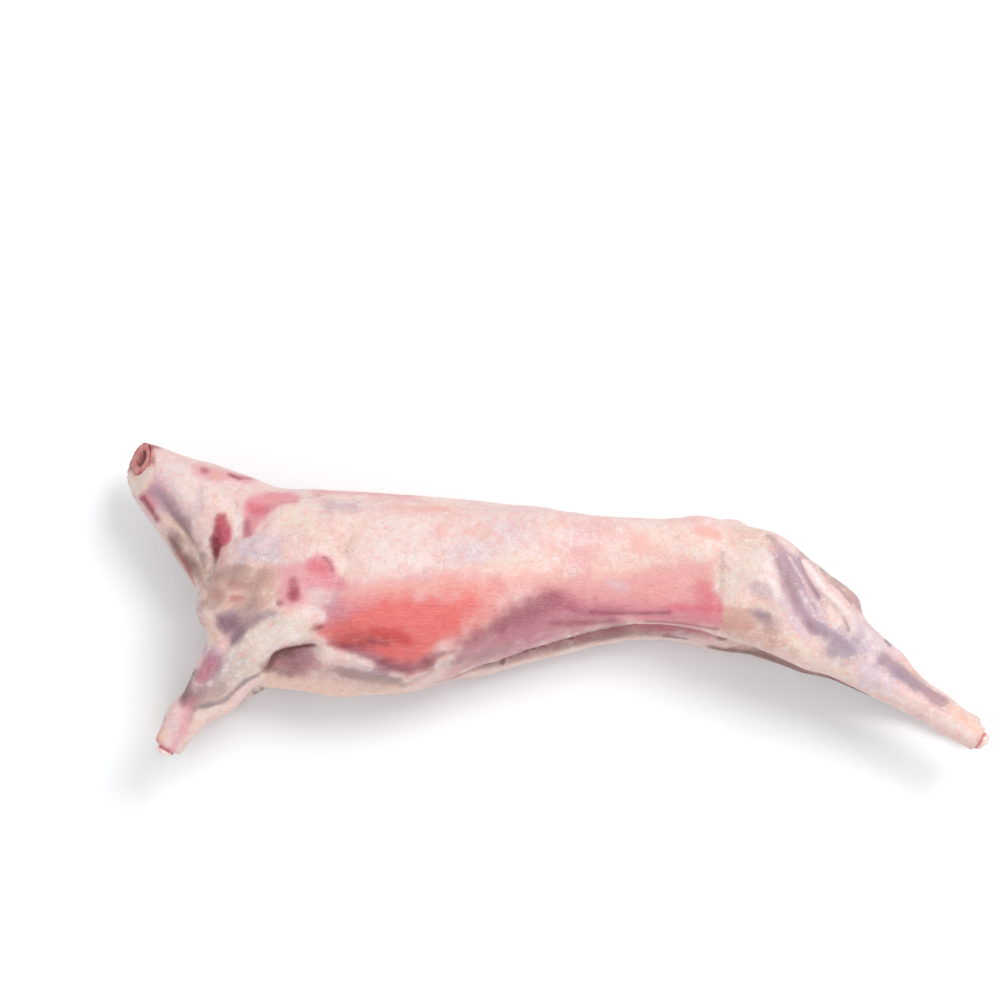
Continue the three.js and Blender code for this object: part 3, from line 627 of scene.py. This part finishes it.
# the sawn neck: muscle in its sheaths round the bone, under a rim of fat
NECK_CUT = Vector((-526.4, 171.0, 101.3)) / 1000
NECK_WAY = Vector((-0.77, 0.25, 0.59)).normalized()
from_cut = (rest_place - np.array(NECK_CUT)) @ np.array(NECK_WAY)
on_cut = np.clip((rest_normal @ np.array(NECK_WAY) - 0.72) / 0.15, 0, 1) * (np.abs(from_cut) < 0.006)
on_cut *= np.linalg.norm(rest_place - np.array(NECK_CUT), axis=1) < 0.06
lay("rose", on_cut * 0.95)
lay("salmon", on_cut * np.clip(1.2 * rough_mid + 0.5, 0, 0.8))
lay("crimson", on_cut * np.clip(1.6 * wander(0.012, 13) - 0.1, 0, 0.6))
lay("clay", on_cut * np.clip(2.0 * wander(0.013, 17) - 0.2, 0, 0.6))
lower_part = np.clip((-(rest_place - np.array(NECK_CUT))[:, 1] - 0.004) / 0.008, 0, 1)
lay("cream", on_cut * lower_part * 0.9)
daub("crimson", 0.8, 12, [(-506, 190, 112), (-502, 180, 118), (-504, 170, 118)], (1,))
daub("clay", 0.7, 8, [(-541, 150, 88), (-534, 142, 90)], (1,))

# inside the slit and between the legs, where nothing takes the blood off, the membrane is dark and red
# the mask takes every surface that faces the body close by, so it also paints the shade of these recesses
recess_blood_and_shade = np.zeros(len(rest_place))
for i in np.nonzero((np.abs(rest_mm[:, 2] - MEDIAN_Z) < 36) & (rest_mm[:, 0] > -135) & (rest_mm[:, 0] < 200))[0]:
    start, way = Vector(rest_place[i]), Vector(rest_normal[i])
    struck = skin_tree.ray_cast(start + 0.001 * way, way, 0.06)[0]
    recess_blood_and_shade[i] = 0 if struck is None else 1
lay("mauve", 0.8 * recess_blood_and_shade)
lay("crimson", recess_blood_and_shade * np.clip(0.5 + 1.5 * rough_mid, 0, 0.8))


def give_attribute(name, kind, values):
    attribute = skin.attributes.new(name, kind, "POINT")
    attribute.data.foreach_set({"FLOAT": "value", "FLOAT_VECTOR": "vector", "FLOAT_COLOR": "color"}[kind],
                               np.ascontiguousarray(values, dtype=np.float32).ravel())


redness = (tint[:, 0] - tint[:, 1]) / tint[:, 0]
bare = np.clip(np.maximum((redness - 0.36) / 0.3, (0.42 - tint.mean(axis=1)) / 0.15), 0, 1)
sinew = np.clip((tint.min(axis=1) - 0.56) / 0.1, 0, 1)
give_attribute("tint", "FLOAT_COLOR", np.c_[tint, np.ones(len(tint))])
give_attribute("bare", "FLOAT", bare)
give_attribute("sinew", "FLOAT", sinew)

# the grain of the meat runs along the body, and turns with the neck and the limbs
grain = rest_place.copy()
for pivot, angle, start, way, reach in (((-0.40, 0.10), -32, (-0.40, 0.10), (-0.84, 0.54), 0.05),
                                        ((-0.37, -0.07), 52, (-0.36, -0.05), (-0.57, -0.81), 0.04),
                                        ((0.30, 0.0), -33, (0.28, 0.0), (0.84, -0.54), 0.07)):
    weight = np.clip((rest_place[:, :2] - start) @ np.array(way) / reach, 0, 1)
    turn = -math.radians(angle) * weight * weight * (3 - 2 * weight)
    x, y = grain[:, 0] - pivot[0], grain[:, 1] - pivot[1]
    grain[:, 0] = pivot[0] + x * np.cos(turn) - y * np.sin(turn)
    grain[:, 1] = pivot[1] + x * np.sin(turn) + y * np.cos(turn)
give_attribute("grain", "FLOAT_VECTOR", grain)


# ---- Body: its surface ---------------------------------------------------------------------------
# Cold wet fat and meat: small fat lobules and flecks, muscle fibres where it is bare, thin vessels, and a film
# of moisture that breaks up the gloss.
def put(tree, kind, inputs=None, **settings):
    """Adds a node with its settings, and its inputs as values or as the outputs that feed them."""
    node = tree.nodes.new(kind)
    for name, value in settings.items():
        setattr(node, name, value)
    for name, value in (inputs or {}).items():
        if isinstance(value, bpy.types.NodeSocket):
            tree.links.new(value, node.inputs[name])
        else:
            node.inputs[name].default_value = value
    return node


def mixed(tree, factor, first, second, blend="MIX"):
    """A colour between two others; each of the three is a value or an output."""
    return put(tree, "ShaderNodeMix", {0: factor, 6: first, 7: second}, data_type="RGBA", blend_type=blend).outputs[2]


def step(tree, value, low, high, to_low=0.0, to_high=1.0):
    """A soft step of a value between two limits."""
    return put(tree, "ShaderNodeMapRange", {"Value": value, "From Min": low, "From Max": high, "To Min": to_low,
                                            "To Max": to_high}, interpolation_type="SMOOTHSTEP").outputs["Result"]


def sums(tree, operation, first, second):
    return put(tree, "ShaderNodeMath", {0: first, 1: second}, operation=operation).outputs[0]


def stretched(tree, vector, scale):
    return put(tree, "ShaderNodeMapping", {"Vector": vector, "Scale": scale}).outputs["Vector"]


def new_group(name, inputs, outputs):
    group = bpy.data.node_groups.new(name, "ShaderNodeTree")
    for label, kind, value in inputs:
        socket = group.interface.new_socket(label, in_out="INPUT", socket_type=kind)
        if value is not None:
            socket.default_value = value
    for label, kind in outputs:
        group.interface.new_socket(label, in_out="OUTPUT", socket_type=kind)
    return group, group.nodes.new("NodeGroupInput").outputs, group.nodes.new("NodeGroupOutput").inputs


# flecks: small ragged islands over a surface, such as fat on meat or blood in bone
flecks, given, gives = new_group("flecks", [("Vector", "NodeSocketVector", None), ("Scale", "NodeSocketFloat", 200.0),
                                            ("Cover", "NodeSocketFloat", 0.5)], [("Mask", "NodeSocketFloat")])
spots = put(flecks, "ShaderNodeTexNoise", {"Vector": given["Vector"], "Scale": given["Scale"], "Detail": 4.0,
                                           "Roughness": 0.65, "Distortion": 0.6}).outputs["Fac"]
limit = sums(flecks, "SUBTRACT", 0.72, sums(flecks, "MULTIPLY", given["Cover"], 0.4))
flecks.links.new(put(flecks, "ShaderNodeMapRange", {"Value": spots, "From Min": limit, "From Max":
                     sums(flecks, "ADD", limit, 0.1)}, interpolation_type="SMOOTHSTEP").outputs["Result"], gives["Mask"])

# wet film: how rough and how wet a moist surface is from place to place, and its fine creases
wet_film, given, gives = new_group("wet_film", [("Vector", "NodeSocketVector", None),
                                                ("Dry", "NodeSocketFloat", 0.5), ("Wet", "NodeSocketFloat", 0.25)],
                                   [("Roughness", "NodeSocketFloat"), ("Film", "NodeSocketFloat"),
                                    ("Creases", "NodeSocketFloat")])
damp = put(wet_film, "ShaderNodeTexNoise", {"Vector": given["Vector"], "Scale": 55.0, "Detail": 5.0,
                                            "Roughness": 0.6}).outputs["Fac"]
wetness = step(wet_film, damp, 0.42, 0.6)
rough_value = put(wet_film, "ShaderNodeMix", {0: wetness, 2: given["Dry"], 3: given["Wet"]}).outputs[0]
creases = put(wet_film, "ShaderNodeTexNoise", {"Vector": given["Vector"], "Scale": 420.0, "Detail": 3.0,
                                               "Roughness": 0.55}).outputs["Fac"]
wet_film.links.new(rough_value, gives["Roughness"])
wet_film.links.new(wetness, gives["Film"])
wet_film.links.new(creases, gives["Creases"])


def new_finish(name, **constants):
    """A material with its shader's plain values set; gives its tree, its shader and the object's coordinates."""
    finish = bpy.data.materials.new(name)
    finish.use_nodes = True
    tree = finish.node_tree
    shader = tree.nodes["Principled BSDF"]
    for label, value in constants.items():
        shader.inputs[label.replace("_", " ")].default_value = value
    return finish, tree, shader, put(tree, "ShaderNodeTexCoord").outputs["Object"]


def use(tree, group, inputs):
    node = tree.nodes.new("ShaderNodeGroup")
    node.node_tree = group
    for label, value in inputs.items():
        if isinstance(value, bpy.types.NodeSocket):
            tree.links.new(value, node.inputs[label])
        else:
            node.inputs[label].default_value = value
    return node.outputs


meat, tree, shader, place_on = new_finish(
    "raw_lamb", Subsurface_Weight=0.12, Subsurface_Radius=(1.0, 0.38, 0.22), Subsurface_Scale=0.006,
    Specular_IOR_Level=0.4, Coat_Roughness=0.18, Coat_IOR=1.38)


def read(name, output):
    return put(tree, "ShaderNodeAttribute", attribute_name=name).outputs[output]


colour, bareness, sheath, fibre_place = read("tint", "Color"), read("bare", "Fac"), read("sinew", "Fac"), \
    read("grain", "Vector")
cloud = put(tree, "ShaderNodeTexNoise", {"Vector": place_on, "Scale": 95.0, "Detail": 5.0, "Roughness": 0.62}).outputs
fibres = put(tree, "ShaderNodeTexNoise", {"Vector": stretched(tree, fibre_place, (60, 420, 420)), "Scale": 1.0,
                                          "Detail": 4.0, "Roughness": 0.6, "Distortion": 0.35}).outputs["Fac"]
# mottling of flesh under the fat, then fat flecks over it, then fibres and their fat where it is bare
covered = step(tree, bareness, 0.35, 0.0)
colour = mixed(tree, sums(tree, "MULTIPLY", covered, step(tree, cloud["Fac"], 0.5, 0.66, 0.0, 0.5)), colour,
               (*TONES["salmon"], 1))
colour = mixed(tree, sums(tree, "MULTIPLY", covered, step(tree, cloud["Fac"], 0.48, 0.34, 0.0, 0.5)), colour,
               (*TONES["milk"], 1))
fat = use(tree, flecks, {"Vector": place_on, "Scale": 210.0, "Cover": 0.62})["Mask"]
colour = mixed(tree, sums(tree, "MULTIPLY", fat, step(tree, covered, 0.0, 1.0, 0.0, 0.42)), colour,
               (*TONES["cream"], 1))
speckle = use(tree, flecks, {"Vector": place_on, "Scale": 130.0, "Cover": 0.34})["Mask"]
colour = mixed(tree, sums(tree, "MULTIPLY", speckle, step(tree, covered, 0.0, 1.0, 0.0, 0.24)), colour,
               (*TONES["clay"], 1))
streak = sums(tree, "MULTIPLY", step(tree, fibres, 0.5, 0.68), step(tree, bareness, 0.1, 0.8, 0.0, 0.2))
colour = mixed(tree, streak, colour, (*TONES["salmon"], 1))
dark_streak = sums(tree, "MULTIPLY", step(tree, fibres, 0.48, 0.32), step(tree, bareness, 0.1, 0.8, 0.0, 0.2))
colour = mixed(tree, dark_streak, colour, (*TONES["maroon"], 1))
# thin vessels: the borders of large warped cells, only here and there
bent = put(tree, "ShaderNodeVectorMath", {0: place_on, 1: put(
    tree, "ShaderNodeVectorMath", {0: cloud["Color"], 1: (0.018, 0.018, 0.018)}, operation="MULTIPLY").outputs[0]},
    operation="ADD").outputs[0]
cells = put(tree, "ShaderNodeTexVoronoi", {"Vector": bent, "Scale": 22.0},
            feature="DISTANCE_TO_EDGE").outputs["Distance"]
some = put(tree, "ShaderNodeTexNoise", {"Vector": place_on, "Scale": 14.0, "Detail": 1.0}).outputs["Fac"]
vessel = sums(tree, "MULTIPLY", step(tree, cells, 0.02, 0.0, 0.0, 0.16), step(tree, some, 0.52, 0.64))
colour = mixed(tree, vessel, colour, (*TONES["maroon"], 1))
tree.links.new(colour, shader.inputs["Base Color"])
film = use(tree, wet_film, {"Vector": place_on, "Dry": 0.55, "Wet": 0.38})
gloss = sums(tree, "SUBTRACT", film["Roughness"], sums(tree, "MULTIPLY", sheath, 0.06))
tree.links.new(gloss, shader.inputs["Roughness"])
tree.links.new(sums(tree, "MULTIPLY", film["Film"], 0.16), shader.inputs["Coat Weight"])
height = sums(tree, "ADD", sums(tree, "MULTIPLY", cloud["Fac"], 0.6), sums(tree, "MULTIPLY", film["Creases"], 0.22))
height = sums(tree, "ADD", height, sums(tree, "MULTIPLY", fat, 0.12))
height = sums(tree, "ADD", height, sums(tree, "MULTIPLY", sums(tree, "MULTIPLY", fibres, bareness), 0.45))
bump = put(tree, "ShaderNodeBump", {"Height": height, "Strength": 0.7, "Distance": 0.0028})
tree.links.new(bump.outputs["Normal"], shader.inputs["Normal"])
body.data.materials.clear()
body.data.materials.append(meat)
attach(body, "root")
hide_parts("carcass")


# ---- Neck vertebra -------------------------------------------------------------------------------
# The last bone left in the neck, sawn through with it: a ring of red spongy bone with short wings.
# Its canal still holds dark blood. It sits in its muscle, nearer the back, and stands a little proud of the cut.
NECK_AXIS = Vector((-0.838, 0.546, 0.03)).normalized()
NECK_BONE = Vector((-522.6, 176.9, 101.3)) / 1000
BONE_WIDTH = 18.0
CANAL_WIDTH = 8.0
CANAL_DEPTH = 0.034
BONE_LENGTH = 0.045
BONE_PROUD = 0.0012


def recalculate_normals():
    bpy.ops.mesh.normals_make_consistent(inside=False)


def subtract(thing, tool):
    apply_modifier(thing, "BOOLEAN", operation="DIFFERENCE", object=tool, solver="EXACT")
    bpy.data.objects.remove(tool)


def move_vertices(thing, shape):
    """Moves each vertex of a mesh to where a function of its place and normal, in metres, puts it."""
    for vertex in thing.data.vertices:
        vertex.co = shape(vertex.co.copy(), vertex.normal.copy())
    thing.data.update()


def stain(thing, amount):
    """Writes how bloody each vertex is, 0 to 1, from a function of its place."""
    values = thing.data.attributes.new("stain", "FLOAT", "POINT").data
    for vertex in thing.data.vertices:
        values[vertex.index].value = min(max(amount(vertex.co), 0.0), 1.0)


bpy.ops.mesh.primitive_cylinder_add(vertices=48, radius=BONE_WIDTH / 1000, depth=0.08)
vertebra = bpy.context.object
vertebra.name = "neck_vertebra"
vertebra.data.transform(toward(NECK_BONE * 1000, NECK_AXIS) @ Matrix.Translation((0, 0, 0.04 - BONE_LENGTH)))
face_point = NECK_CUT + BONE_PROUD * NECK_WAY
edit(vertebra, lambda: bpy.ops.mesh.bisect(plane_co=face_point, plane_no=NECK_WAY, use_fill=True, clear_outer=True),
     recalculate_normals)
bpy.ops.mesh.primitive_cylinder_add(vertices=32, radius=CANAL_WIDTH / 1000, depth=2 * CANAL_DEPTH)
canal = bpy.context.object
canal.data.transform(toward(NECK_BONE * 1000, NECK_AXIS) @ Matrix.Scale(1.25, 4, (1, 0, 0)))
subtract(vertebra, canal)
apply_modifier(vertebra, "REMESH", mode="VOXEL", voxel_size=0.0009)
edit(vertebra, lambda: bpy.ops.mesh.vertices_smooth(factor=0.5, repeat=2))
across_neck = NECK_WAY.cross(Vector((0, 0, 1))).normalized()
up_neck = NECK_WAY.cross(across_neck)


def wing(co, normal):
    """Widens the sawn end into the vertebra's wings and its arch, and leaves saw marks on the face."""
    out = co - NECK_BONE
    depth = (co - NECK_CUT).dot(NECK_WAY)
    flat = out - out.dot(NECK_WAY) * NECK_WAY
    angle = math.atan2(flat.dot(up_neck), flat.dot(across_neck))
    near_face = min(max(1 + depth / 0.006, 0), 1)
    spread = 0.16 * max(math.cos(2 * angle), 0) ** 2 - 0.08 * max(math.sin(angle + 0.4), 0) ** 3
    rim = min(max((flat.length - 0.010) / 0.006, 0), 1)
    saw = 0.00025 * noise.noise(co * 900) + 0.0002 * math.sin(flat.dot(across_neck) * 2600)
    return co + flat * spread * near_face * rim + NECK_WAY * saw * near_face + normal * 0.0004 * noise.noise(co * 260)


move_vertices(vertebra, wing)
smooth_shade(vertebra)


def ring_blood(co):
    flat = (co - NECK_BONE) - (co - NECK_BONE).dot(NECK_WAY) * NECK_WAY
    blood = 1.6 - (flat + 0.006 * up_neck).length / 0.0092
    return max(blood, 0.3 * noise.noise(co * 150))


stain(vertebra, ring_blood)
sawn_bone, tree, shader, place_on = new_finish(
    "sawn_bone", Subsurface_Weight=0.08, Subsurface_Radius=(1.0, 0.4, 0.3), Subsurface_Scale=0.003, Coat_Roughness=0.2)
pores = use(tree, flecks, {"Vector": place_on, "Scale": 620.0, "Cover": 0.75})["Mask"]
cloud = put(tree, "ShaderNodeTexNoise", {"Vector": place_on, "Scale": 120.0, "Detail": 4.0}).outputs["Fac"]
colour = mixed(tree, step(tree, cloud, 0.4, 0.62), (*linear(232, 176, 164), 1), (*linear(222, 134, 132), 1))
colour = mixed(tree, sums(tree, "MULTIPLY", pores, 0.6), colour, (*linear(168, 62, 66), 1))
bloody = step(tree, sums(tree, "ADD", read("stain", "Fac"), sums(tree, "MULTIPLY", cloud, 0.35)), 0.42, 0.8)
colour = mixed(tree, bloody, colour, (*linear(96, 14, 26), 1))
tree.links.new(colour, shader.inputs["Base Color"])
film = use(tree, wet_film, {"Vector": place_on, "Dry": 0.6, "Wet": 0.4})
tree.links.new(film["Roughness"], shader.inputs["Roughness"])
tree.links.new(sums(tree, "MULTIPLY", film["Film"], 0.12), shader.inputs["Coat Weight"])
height = sums(tree, "SUBTRACT", sums(tree, "MULTIPLY", film["Creases"], 0.4), sums(tree, "MULTIPLY", pores, 0.7))
bump = put(tree, "ShaderNodeBump", {"Height": height, "Strength": 0.6, "Distance": 0.0008})
tree.links.new(bump.outputs["Normal"], shader.inputs["Normal"])
vertebra.data.materials.append(sawn_bone)
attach(vertebra, "root")
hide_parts("neck_bone")

# the blood that has set in the canal, sunk below its rim
bpy.ops.mesh.primitive_uv_sphere_add(segments=32, ring_count=16, radius=0.0094)
clot = bpy.context.object
clot.name = "neck_blood"
clot.data.transform(toward(NECK_BONE * 1000, NECK_AXIS) @ Matrix.Translation((0, 0, -0.006))
                    @ Matrix.Scale(0.4, 4, (0, 0, 1)))
edit(clot, lambda: bpy.ops.mesh.subdivide(number_cuts=1), recalculate_normals)
move_vertices(clot, lambda co, normal: co + normal * 0.0011 * noise.noise(co * 240))
smooth_shade(clot)
set_blood, tree, shader, place_on = new_finish("set_blood", Specular_IOR_Level=0.3, Coat_Roughness=0.15)
cloud = put(tree, "ShaderNodeTexNoise", {"Vector": place_on, "Scale": 260.0, "Detail": 4.0}).outputs["Fac"]
tree.links.new(mixed(tree, step(tree, cloud, 0.35, 0.7), (*linear(58, 6, 14), 1), (*linear(112, 16, 28), 1)),
               shader.inputs["Base Color"])
film = use(tree, wet_film, {"Vector": place_on, "Dry": 0.5, "Wet": 0.3})
tree.links.new(film["Roughness"], shader.inputs["Roughness"])
tree.links.new(sums(tree, "MULTIPLY", film["Film"], 0.25), shader.inputs["Coat Weight"])
bump = put(tree, "ShaderNodeBump", {"Height": cloud, "Strength": 0.4, "Distance": 0.001})
tree.links.new(bump.outputs["Normal"], shader.inputs["Normal"])
clot.data.materials.append(set_blood)
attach(clot, "root")


# ---- Joints at the leg ends ----------------------------------------------------------------------
# The feet are taken off through the knee and hock joints, so each leg ends in two smooth knobs of cartilage
# with a groove between them. They are blue-white and glossy, and pink where they meet the flesh.
cartilage, tree, shader, place_on = new_finish(
    "joint_cartilage", Subsurface_Weight=0.15, Subsurface_Radius=(1.0, 0.6, 0.5), Subsurface_Scale=0.003,
    Coat_Weight=0.6, Coat_Roughness=0.08)
cloud = put(tree, "ShaderNodeTexNoise", {"Vector": place_on, "Scale": 140.0, "Detail": 4.0}).outputs["Fac"]
colour = mixed(tree, step(tree, cloud, 0.4, 0.65), (*linear(230, 212, 204), 1), (*linear(232, 190, 176), 1))
pink = step(tree, sums(tree, "ADD", read("stain", "Fac"), sums(tree, "MULTIPLY", cloud, 0.4)), 0.35, 0.95)
colour = mixed(tree, pink, colour, (*linear(204, 118, 118), 1))
specks = use(tree, flecks, {"Vector": place_on, "Scale": 300.0, "Cover": 0.28})["Mask"]
colour = mixed(tree, sums(tree, "MULTIPLY", specks, 0.5), colour, (*linear(170, 60, 66), 1))
tree.links.new(colour, shader.inputs["Base Color"])
film = use(tree, wet_film, {"Vector": place_on, "Dry": 0.38, "Wet": 0.16})
tree.links.new(film["Roughness"], shader.inputs["Roughness"])
bump = put(tree, "ShaderNodeBump", {"Height": film["Creases"], "Strength": 0.25, "Distance": 0.0006})
tree.links.new(bump.outputs["Normal"], shader.inputs["Normal"])


def joint_end(name, width):
    """One joint end with its middle at the origin, pointing up; its width is the bone's radius in metres."""
    bpy.ops.mesh.primitive_cylinder_add(vertices=32, radius=0.86 * width, depth=0.03, location=(0, 0, -0.0125))
    parts = [bpy.context.object]
    for place, size in (((0.5 * width, 0, 0.12 * width), (0.56, 0.72, 0.55)),
                        ((-0.5 * width, 0.06 * width, 0.08 * width), (0.54, 0.66, 0.52)),
                        ((0, 0, -0.1 * width), (0.96, 0.84, 0.36)),
                        ((0, 0.62 * width, -0.05 * width), (0.42, 0.34, 0.3))):
        bpy.ops.mesh.primitive_uv_sphere_add(segments=32, ring_count=16, radius=width, location=place)
        bpy.ops.transform.resize(value=size)
        bpy.ops.object.transform_apply(location=True, rotation=True, scale=True)
        parts.append(bpy.context.object)
    end = join(parts, name)
    deselect_all()
    end.select_set(True)
    bpy.ops.object.transform_apply(location=True, rotation=True, scale=True)
    apply_modifier(end, "REMESH", mode="VOXEL", voxel_size=0.0008)
    edit(end, lambda: bpy.ops.mesh.vertices_smooth(factor=0.5, repeat=5))
    move_vertices(end, lambda co, normal: co + normal * 0.0005 * noise.noise(co * 220))
    return end


def finish_joint(end, node, cut, way, roll, lift_out):
    stain(end, lambda co: 0.7 - max(co.z, 0) / 0.0042 + 0.25 * math.exp(-((co.x / 0.002) ** 2)))
    end.data.transform(toward(cut, way, roll) @ Matrix.Translation((0, 0, lift_out)))
    smooth_shade(end)
    end.data.materials.append(cartilage)
    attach(end, "root")
    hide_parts(node)


for node_start, width, cuts, roll in (("fore", 0.0122, KNEE_CUTS, 20), ("hind", 0.0134, HOCK_CUTS, -15)):
    pattern = joint_end(f"{node_start}_joint_near", width)
    other = pattern.copy()
    other.data = pattern.data.copy()
    other.name = f"{node_start}_joint_far"
    bpy.context.collection.objects.link(other)
    other.data.transform(Matrix.Scale(-1, 4, (1, 0, 0)))
    edit(other, recalculate_normals)
    for end, side in ((pattern, "near"), (other, "far")):
        finish_joint(end, f"{node_start}_bone_{side}", *cuts[side], roll, 0.0018)
